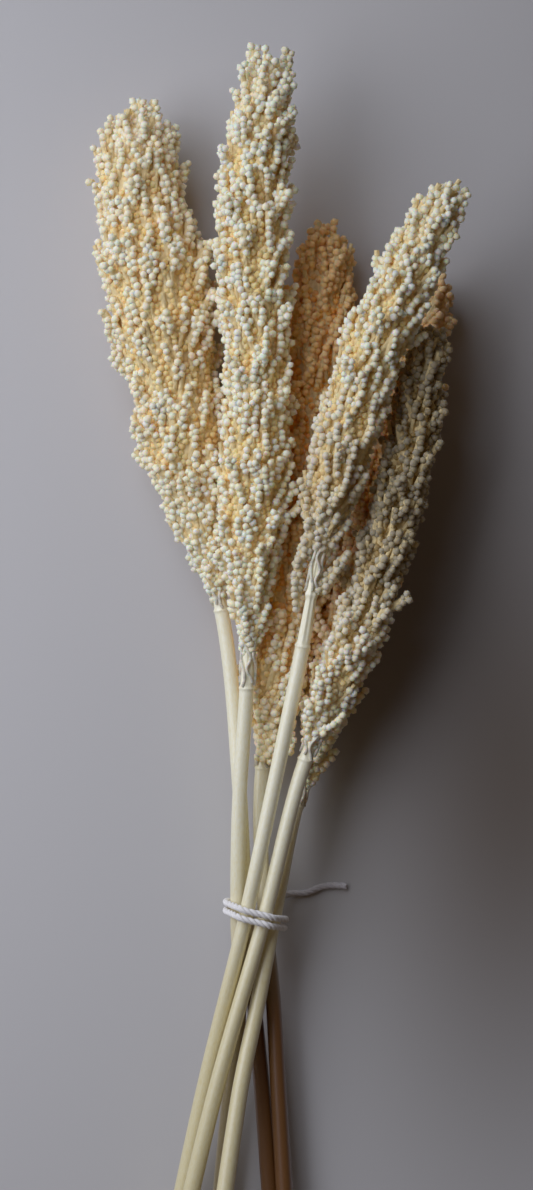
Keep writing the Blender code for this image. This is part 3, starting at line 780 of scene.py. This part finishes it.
def cord_tree():
    """A cord of plies that twist round each other along a path."""
    tree, given = new_tree("twisted cord", [
        ("Diameter", "Float"), ("Pitch", "Float"), ("Material", "Material")])
    node = partial(add_node, tree)
    curve = node("GeometryNodeMeshToCurve", {"Mesh": given["Geometry"]})
    step = node(MATH, [given["Pitch"], PLY_STEP], operation="MULTIPLY")
    fine = node("GeometryNodeResampleCurve", {"Curve": curve, "Length": step}, mode="LENGTH")
    path = node(STORE, {"Geometry": fine, "Name": "along", "Value": out(node(ALONG), "Length")})
    along = node(NAMED, {"Name": "along"})
    turns = node(MATH, [along, given["Pitch"]], operation="DIVIDE")
    normal = node("GeometryNodeInputNormal")
    tangent = node("GeometryNodeInputTangent")
    side = node(VECTOR, [tangent, normal], operation="CROSS_PRODUCT")
    ply_place = node(MATH, [given["Diameter"], PLY_PLACE], operation="MULTIPLY")
    ply_radius = node(MATH, [given["Diameter"], PLY_RADIUS], operation="MULTIPLY")
    circle = node(CIRCLE, {"Resolution": PLY_SIDES, "Radius": 1.0})
    ring = node(STORE, {"Geometry": circle, "Name": "around", "Value": out(node(ALONG), "Factor")})
    joined = node("GeometryNodeJoinGeometry")
    for ply in range(PLIES):
        turn = node(MATH, [turns, ply / PLIES], operation="ADD")
        angle = node(MATH, [turn, math.tau], operation="MULTIPLY")
        parts = []
        for direction, wave in [(normal, "COSINE"), (side, "SINE")]:
            share = node(MATH, [angle], operation=wave)
            parts.append(node(VECTOR, {"Vector": direction, "Scale": share}, operation="SCALE"))
        both = node(VECTOR, parts, operation="ADD")
        offset = node(VECTOR, {"Vector": both, "Scale": ply_place}, operation="SCALE")
        wound = node(SET_PLACE, {"Geometry": path, "Offset": offset})
        tube = node(SWEEP, {"Curve": wound, "Profile Curve": ring, "Scale": ply_radius,
                            "Fill Caps": True})
        tree.links.new(out(tube), joined.inputs[0])
    smooth = node(SET_SMOOTH, {"Geometry": joined})
    made = node(SET_MATERIAL, {"Geometry": smooth, "Material": given["Material"]})
    node("NodeGroupOutput", [made])
    return tree


def new_material(name, finish, attributes=()):
    """A material with this finish on its shader, as (material, what adds its nodes, the values that
    it reads from the piece's attributes)."""
    material = bpy.data.materials.new(name)
    material.use_nodes = True
    for label, value in finish.items():
        material.node_tree.nodes["Principled BSDF"].inputs[label].default_value = value
    node = partial(add_node, material.node_tree)
    return material, node, [out(node("ShaderNodeAttribute", attribute_name=label), "Fac")
                            for label in attributes]


def finish_material(material, colour, bump=None):
    """Links the colour and the bump to the material's shader."""
    shader = material.node_tree.nodes["Principled BSDF"]
    material.node_tree.links.new(out(colour), shader.inputs["Base Color"])
    if bump:
        material.node_tree.links.new(out(bump), shader.inputs["Normal"])
    return material


def darker(colour, share):
    """The colour with this share of its light."""
    return tuple(share * channel for channel in colour)


def grain_material(settings, stem):
    """Sorghum grain in its dried husk. The husk is thin and waxy, so light goes a little way in and
    comes out amber, the outer end is chalky and pale, and no two grains have quite the same colour.
    Some heads are tinted amber, partly their own tone and partly painted warm shade; painted shade
    greys an end of some heads and darkens the grain deep in the head."""
    material, node, (tip, height, deep, tone) = new_material("dried sorghum grain " + stem.name, {
        "Roughness": 0.6, "Specular IOR Level": 0.25, "Subsurface Weight": 1.0,
        "Subsurface Radius": (1.0, 0.75, 0.4), "Subsurface Scale": 1.3 * MM},
        ["tip", "height", "deep", "tone"])
    colour = node(MIX, {"Factor": node(RANGE, [tip, 0.0, 0.5]), "A": settings.husk_colour,
                        "B": settings.crown_colour})
    # Each tint is mixed in more the further a value of the grain or of its place is up this range.
    # The amber is partly a head's own tone and partly painted warm shade, the grey is painted shade at
    # an end of some heads, the hollows' colour is painted shade deep in the head, and the tone is each
    # grain's own.
    for value, limits, tint in [
            (height, (0.05, 0.45, 0.15 * stem.amber, stem.amber), settings.amber_and_shade_colour),
            (height, (0.12, 0.48, *stem.dull), settings.painted_shade_colour),
            (deep, (0.35, 0.95, 0.0, 0.8), settings.hollow_shade_colour),
            (tone, (0.0, 1.0, 0.0, 0.35), settings.husk_colour)]:
        colour = node(MIX, {"Factor": node(RANGE, [value, *limits]), "A": colour, "B": tint},
                      blend_type="MULTIPLY")
    return finish_material(material, colour)


def core_material(settings, stem):
    """Branches and the feet of grains in the depth of a head, too fine to make out, in a warm brown that is
    partly their own colour and partly painted shade.
    """
    material, node, _ = new_material("sorghum branches " + stem.name, {"Roughness": 0.8})
    cells = node("ShaderNodeTexVoronoi", {
        "Vector": out(node(PLACE), "Object"), "Scale": 1.0 / settings.spacing})
    distance = out(cells, "Distance")
    colour = node(MIX, {"Factor": node(RANGE, [distance, 0.1, 0.7]), "A": settings.hollow_shade_colour,
                        "B": darker(settings.hollow_shade_colour, 0.75)})
    bump = node(BUMP, {"Height": distance, "Strength": 0.6, "Distance": 1.0 * MM}, invert=True)
    return finish_material(material, colour, bump)


def stalk_material(settings, stem):
    """Rind of a dried cane stalk: a waxy straw skin, streaked lengthwise by fine fibres, paler above
    and a deeper straw at the foot, which is brown on some, partly dried colour and partly painted
    shade where they lie under the others. It shines softly along its length."""
    material, node, (along, around) = new_material("dried cane rind " + stem.name, {
        "Roughness": 0.38, "Specular IOR Level": 0.8, "Coat Weight": 0.6, "Coat Roughness": 0.3},
        ["along", "around"])
    stretched = node(MATH, [along, FIBRE_STRETCH], operation="MULTIPLY")
    place = node("ShaderNodeCombineXYZ", [around, stretched])
    fibres = node("ShaderNodeTexNoise", {
        "Vector": place, "Scale": FIBRES_ROUND, "Detail": 4.0, "Roughness": 0.6})
    skin = node(MIX, {"Factor": node(RANGE, [along, *FOOT_FADE]), "A": settings.foot_colour,
                      "B": settings.rind_colour})
    streaks = node(MIX, {"Factor": node(RANGE, [fibres, 0.35, 0.75, 0.0, 0.7]), "A": skin,
                         "B": settings.shade_colour}, blend_type="MULTIPLY")
    # The brown at the foot is partly dried colour and partly painted shade.
    aged_and_shaded = node(MIX, {"Factor": node(RANGE, [along, *BROWN_FADE, stem.brown, 0.0]), "A": streaks,
                      "B": settings.aged_and_shade_colour}, blend_type="MULTIPLY")
    bump = node(BUMP, {"Height": fibres, "Strength": 0.25, "Distance": 0.2 * MM})
    return finish_material(material, aged_and_shaded, bump)


def strand_material(settings):
    """Split skin of the neck: thin dry strips in paler and darker stretches, without a shine."""
    material, node, (along,) = new_material("dried sheath strands", {
        "Roughness": 0.7, "Subsurface Weight": 0.3, "Subsurface Scale": 0.5 * MM}, ["along"])
    patches = node("ShaderNodeTexNoise", {"W": along, "Scale": 1.0 / (3.0 * MM), "Detail": 2.0},
                   noise_dimensions="1D")
    colour = node(MIX, {"Factor": node(RANGE, [patches, 0.4, 0.7]), "A": settings.strand_colour,
                        "B": darker(settings.strand_colour, 0.6)})
    return finish_material(material, colour)


def pith_material(settings):
    """Pith at a cut end: a dry sponge, dotted with the ends of the fibres that run through it."""
    material, node, _ = new_material("cane pith", {"Roughness": 0.9})
    dots = node("ShaderNodeTexVoronoi", {
        "Vector": out(node(PLACE), "Object"), "Scale": 1.0 / (0.7 * MM)})
    shade = node(RANGE, [out(dots, "Distance"), 0.15, 0.35])
    return finish_material(material, node(MIX, {
        "Factor": shade, "A": darker(settings.pith_colour, 0.55), "B": settings.pith_colour}))


def cord_material(name, colour):
    """Bleached cotton cord, soft twist: matt, with the fine slanting lines of its spun yarn."""
    material, node, (along, around) = new_material(
        name, {"Roughness": 0.9, "Sheen Weight": 0.3}, ["along", "around"])
    turned = node(MATH, [along, 1.0 / (1.6 * MM), around], operation="MULTIPLY_ADD")
    phase = node(MATH, [turned, 3 * math.tau], operation="MULTIPLY")
    wave = node(MATH, [phase], operation="SINE")
    shade = node(MIX, {"Factor": node(RANGE, [wave, -1.0, 1.0, 0.25, 0.0]), "A": colour,
                       "B": darker(colour, 0.6)})
    bump = node(BUMP, {"Height": wave, "Strength": 0.3, "Distance": 0.1 * MM})
    return finish_material(material, shade, bump)


def floor_material(settings):
    """Matt pale paint on board, with a very slight unevenness of the roller, and a painted shadow:
    greyer in one large soft patch at the right, where the photo's floor gets less light than this
    window leaves on it."""
    material, node, _ = new_material("matt pale paint", {"Roughness": 0.85})
    place = out(node(PLACE), "Object")
    grain = node("ShaderNodeTexNoise", {"Vector": place, "Scale": 1.0 / (2.0 * MM), "Detail": 3.0})
    # The painted shadow: the floor's paint turns to the patch's grey towards its middle.
    patch = node(VECTOR, [place, tuple(in_frame(PAINTED_SHADOW_PLACE))], operation="SUBTRACT")
    scaled = node(VECTOR, [patch, PAINTED_SHADOW_SIZE], operation="DIVIDE")
    distance = node(VECTOR, [scaled], operation="LENGTH")
    share = node(RANGE, [out(distance, "Value"), 0.0, 1.0])
    colour = node(MIX, {"Factor": share, "A": settings.painted_shadow_colour, "B": settings.floor_colour})
    bump = node(BUMP, {"Height": grain, "Strength": 0.05, "Distance": 0.2 * MM})
    return finish_material(material, colour, bump)


class SORGHUM_OT_stage(bpy.types.Operator):
    """Make the floor, the light and the camera over the bunch"""

    bl_idname = "sorghum.stage"
    bl_label = "Make Stage"

    def execute(self, context):
        settings = context.scene.sorghum_stage
        middle = TIE_PLACE + np.array([(PICTURE[0] / 2 - TIE_PIXEL[0]) * settings.picture_scale,
                                       (TIE_PIXEL[1] - PICTURE[1] / 2) * settings.picture_scale, 0.0])
        self.make_floor(settings)
        self.make_camera(context, settings, middle)
        self.make_light(context, settings, middle)
        return {"FINISHED"}

    def make_floor(self, settings):
        half = FLOOR_SIZE / 2
        floor = link_mesh("floor", mesh_with("floor", [
            (-half, -half, 0.0), (half, -half, 0.0), (half, half, 0.0), (-half, half, 0.0)], [(0, 1, 2, 3)]))
        floor.data.materials.append(floor_material(settings))

    def make_camera(self, context, settings, middle):
        camera = bpy.data.objects.new("camera", bpy.data.cameras.new("camera"))
        context.scene.collection.objects.link(camera)
        camera.location = middle + np.array([0.0, 0.0, settings.camera_height])
        camera.data.sensor_fit = "VERTICAL"
        camera.data.sensor_height = camera.data.sensor_width
        seen = PICTURE[1] * settings.picture_scale
        distance = settings.camera_height - settings.scale_height
        camera.data.lens = camera.data.sensor_height * distance / seen
        context.scene.camera = camera

    def make_light(self, context, settings, middle):
        for name, panel, power, colour in [("window", WINDOW, settings.key_power, settings.key_colour),
                                           ("wall", WALL, settings.side_power, settings.side_colour)]:
            light = bpy.data.lights.new(name, "AREA")
            light.shape = "RECTANGLE"
            light.size, light.size_y = panel.size
            light.spread = panel.spread
            light.energy = power
            light.color = colour
            made = bpy.data.objects.new(name, light)
            context.scene.collection.objects.link(made)
            made.location = middle + np.array(panel.place)
            heading = Vector(np.array(panel.aim) - np.array(panel.place))
            made.rotation_euler = heading.to_track_quat("-Z", "Y").to_euler()
        world = bpy.data.worlds.new("room")
        context.scene.world = world
        world.use_nodes = True
        tree = world.node_tree
        seen = add_node(tree, "ShaderNodeLightPath")
        colour = add_node(tree, MIX, {
            "Factor": out(seen, "Is Camera Ray"), "A": darker(settings.fill_colour, settings.fill_strength),
            "B": settings.backdrop_colour})
        tree.links.new(out(colour), tree.nodes["Background"].inputs["Color"])
        context.scene.view_settings.view_transform = "Standard"
        context.scene.view_settings.gamma = settings.tone_gamma
        context.scene.cycles.diffuse_bounces = LIGHT_BOUNCES
        context.scene.cycles.max_bounces = LIGHT_BOUNCES


class SORGHUM_OT_tail(bpy.types.Operator):
    """Lay the cord's free end on the surface"""

    bl_idname = "sorghum.tail"
    bl_label = "Make Cord End"

    def execute(self, context):
        settings = context.scene.sorghum_cord
        path = in_frame(Spine(TAIL_ROUTE).points)
        # The free end's cotton is greyed as painted shade of the stalks.
        material = cord_material("handled cotton cord", settings.tail_shade_colour)
        tail = apply_tree("tail_cord", path_mesh("tail_path", [path]), cord_tree(), {
            "Diameter": settings.diameter, "Pitch": settings.pitch, "Material": material})
        finish_piece(tail, ["tie_tail"])
        Spine(TAIL_ROUTE).length
        return {"FINISHED"}


def tie_route(spines, radius, cord_radius):
    """The middle of a cord pulled round the stalks, from the knot under them and back to it."""
    reach = radius + STALK_LEAN_ALLOWANCE + TOUCH_GAP + cord_radius
    total = TIE_TURNS * TIE_STEPS
    points = []
    for i in range(total + 1):
        angle = -math.pi / 2 + math.tau * i / TIE_STEPS
        offset = TIE_PITCH * (i / total - 0.5) * TIE_TURNS
        facing = np.array([math.cos(angle), 0.0, math.sin(angle)])
        best = None
        for spine in spines:
            y = offset
            # The cord lies aslant, so where it meets this stalk is found in a few rounds.
            for _ in range(4):
                stalk = spine.at(spine.arc_at_y(y))
                y = offset - TIE_SLANT * stalk[0]
            point = stalk + facing * reach
            if best is None or point @ facing > best @ facing:
                best = point
        points.append((best[0], offset - TIE_SLANT * best[0], best[2]))
    return np.array(points)


def knot_route():
    """A closed overhand knot, flattened against the stalks above it."""
    t = np.linspace(0.0, math.tau, KNOT_STEPS)
    loop = np.stack([np.sin(t) + 2 * np.sin(2 * t), np.cos(t) - 2 * np.cos(2 * t), -np.sin(3 * t)], axis=-1)
    return loop * KNOT_SIZE + np.array(KNOT_CENTRE)


class SORGHUM_OT_tie(bpy.types.Operator):
    """Wind the cord round the stalks and knot it"""

    bl_idname = "sorghum.tie"
    bl_label = "Make Tie"

    def execute(self, context):
        settings = context.scene.sorghum_cord
        spines = [Spine(stem.route) for stem in STEMS]
        turns = tie_route(spines, context.scene.sorghum_stalk.radius, settings.diameter / 2)
        paths = [in_frame(turns), in_frame(knot_route())]
        material = cord_material("bleached cotton cord", settings.cotton_colour)
        tie = apply_tree("tie_cord", path_mesh("tie_path", paths), cord_tree(), {
            "Diameter": settings.diameter, "Pitch": settings.pitch, "Material": material})
        finish_piece(tie, ["tie"])
        return {"FINISHED"}


def neck_girth(settings, stem, spine, arcs):
    """A stalk's radius along it: a slight flare to the cut end, a ring, then two steps to the head."""
    ring = spine.arc_at_y(stem.ring_y)
    girth = np.interp(arcs - ring, [*RING_STEP, NECK_TAPER, 2 * NECK_TAPER],
                      [settings.radius, ABOVE_RING * settings.radius, settings.neck_radius,
                       settings.stem_radius])
    girth = girth + FLARE * np.clip(1.0 - arcs / FLARE_TO, 0.0, 1.0)
    bumps = [(ring, settings.ring_stands, settings.ring_length / 2)]
    if stem.name in WHORLS:
        bumps.append((spine.arc_at_y(WHORLS[stem.name]), WHORL_STANDS, WHORL_LENGTH / 2))
    for middle, height, half in bumps:
        girth = girth + height * np.exp(-((arcs - middle) / half) ** 2)
    return girth


class SORGHUM_OT_stalks(bpy.types.Operator):
    """Make the stalks with their rings and necks"""

    bl_idname = "sorghum.stalks"
    bl_label = "Make Stalks"

    def execute(self, context):
        settings = context.scene.sorghum_stalk
        tree = tube_tree()
        pith = pith_material(settings)
        for stem in STEMS:
            spine = Spine(stem.route)
            ring = spine.arc_at_y(stem.ring_y)
            end = spine.arc_at_y(stem.head_y) + NECK_IN_HEAD
            plain = ring - NECK_FROM
            arcs = np.unique(np.concatenate([np.linspace(0.0, plain, STALK_ROWS),
                                             np.arange(plain, end, NECK_STEP)]))
            groove = settings.groove * np.clip((arcs - ring) / GROOVE_FADE, 0.0, 1.0)
            path = path_mesh("stalk_path", [in_frame(spine.at(arcs))], groove=groove,
                             girth=neck_girth(settings, stem, spine, arcs))
            stalk = apply_tree("stalk_fine_" + stem.name, path, tree, {
                "Sides": settings.sides, "Grooves": NECK_GROOVES,
                "Material": stalk_material(settings, stem), "End Material": pith})
            finish_piece(stalk, ["stalk_" + stem.name])
        return {"FINISHED"}


class SORGHUM_OT_strands(bpy.types.Operator):
    """Wrap the necks in strands of split skin and the feet of the lowest branches"""

    bl_idname = "sorghum.strands"
    bl_label = "Make Neck Strands"

    def execute(self, context):
        settings = context.scene.sorghum_stalk
        paths = []
        draw = np.random.default_rng(STRAND_SEED)
        for stem in STEMS:
            spine = Spine(stem.route)
            ring = spine.arc_at_y(stem.ring_y)
            end = spine.arc_at_y(stem.head_y) + NECK_IN_HEAD
            foot = spine.arc_at_y(WHORLS.get(stem.name, stem.ring_y))
            for i in range(settings.strand_count):
                arcs = np.arange(foot + draw.uniform(*STRAND_START), end, STRAND_STEP)
                up = arcs - ring
                waves = up / draw.uniform(*STRAND_WAVE) + draw.uniform(0.0, math.tau)
                wobble = STRAND_WOBBLE * np.sin(waves)
                angle = math.tau * i / settings.strand_count + up / STRAND_LAY + wobble
                lift = STRAND_STANDS * settings.strand_radius + draw.uniform(*STRAND_LIFT) * np.sin(
                    np.pi * np.clip(up / (end - ring), 0.0, 1.0))
                radius = neck_girth(settings, stem, spine, arcs) + lift
                place, _ = spine.around(arcs, angle, radius)
                paths.append(in_frame(place))
        count = sum(len(path) for path in paths)
        path = path_mesh("strand_paths", paths, girth=np.full(count, settings.strand_radius),
                         groove=np.zeros(count))
        material = strand_material(settings)
        strands = apply_tree("neck_strands", path, tube_tree(), {
            "Sides": STRAND_SIDES, "Grooves": 0.0, "Material": material, "End Material": material})
        finish_piece(strands)
        return {"FINISHED"}


class SORGHUM_OT_heads(bpy.types.Operator):
    """Make the six heads of grain"""

    bl_idname = "sorghum.heads"
    bl_label = "Make Heads"

    def execute(self, context):
        settings = context.scene.sorghum_grain
        tree = grain_tree()
        shape = grain_shape(settings)
        for number, stem in enumerate(STEMS):
            draw = np.random.default_rng(number)
            spine = Spine(stem.route)
            core = Core()
            core.add_body(stem, spine)
            for name, points, radius in SPRIGS:
                if name == stem.name:
                    # Its grain has the colour of the head's foot or of its tip.
                    height = float(points[0][1] > (stem.head_y + stem.route[-1][1]) / 2)
                    core.add_twig(points, radius - GRAIN_SEAT, SPRIG_TAPER, height)
            add_twigs(core, stem, spine, draw)
            mesh = core.mesh("core_" + stem.name)
            inner = link_mesh("branches_" + stem.name, mesh.copy())
            inner.data.materials.append(core_material(settings, stem))
            finish_piece(inner)
            grains = apply_tree("grain_" + stem.name, mesh, tree, {
                "Grain": shape, "Spacing": settings.spacing, "Unevenness": settings.uneven,
                "Lean": settings.lean, "Smallest": 1.0 - settings.spread, "Largest": 1.0 + settings.spread,
                "Draw": number, "Material": grain_material(settings, stem)})
            finish_piece(grains, ["head_" + stem.name])
        bpy.data.objects.remove(shape)
        return {"FINISHED"}


class SORGHUM_PT_panel(bpy.types.Panel):
    """The bunch's pieces and their sizes and colours"""

    bl_idname = "SORGHUM_PT_panel"
    bl_label = "Dried Sorghum Bunch"
    bl_space_type = "VIEW_3D"
    bl_region_type = "UI"
    bl_category = "Sorghum"

    def draw(self, context):
        for operator, group in PARTS:
            box = self.layout.box()
            box.operator(operator.bl_idname)
            settings = getattr(context.scene, group)
            for name in settings.__annotations__:
                box.prop(settings, name)


GROUPS = {"sorghum_stage": SorghumStage, "sorghum_cord": SorghumCord, "sorghum_stalk": SorghumStalk,
          "sorghum_grain": SorghumGrain}
PARTS = [(SORGHUM_OT_stage, "sorghum_stage"), (SORGHUM_OT_tail, "sorghum_cord"),
         (SORGHUM_OT_tie, "sorghum_cord"), (SORGHUM_OT_stalks, "sorghum_stalk"),
         (SORGHUM_OT_strands, "sorghum_stalk"), (SORGHUM_OT_heads, "sorghum_grain")]


def register():
    for group in GROUPS.values():
        bpy.utils.register_class(group)
    for name, group in GROUPS.items():
        setattr(bpy.types.Scene, name, PointerProperty(type=group))
    for operator, _ in PARTS:
        bpy.utils.register_class(operator)
    bpy.utils.register_class(SORGHUM_PT_panel)


def unregister():
    bpy.utils.unregister_class(SORGHUM_PT_panel)
    for operator, _ in reversed(PARTS):
        bpy.utils.unregister_class(operator)
    for name, group in GROUPS.items():
        delattr(bpy.types.Scene, name)
        bpy.utils.unregister_class(group)


def main():
    register()
    for operator, _ in PARTS:
        module, function = operator.bl_idname.split(".")
        getattr(getattr(bpy.ops, module), function)()


if __name__ == "__main__":
    main()
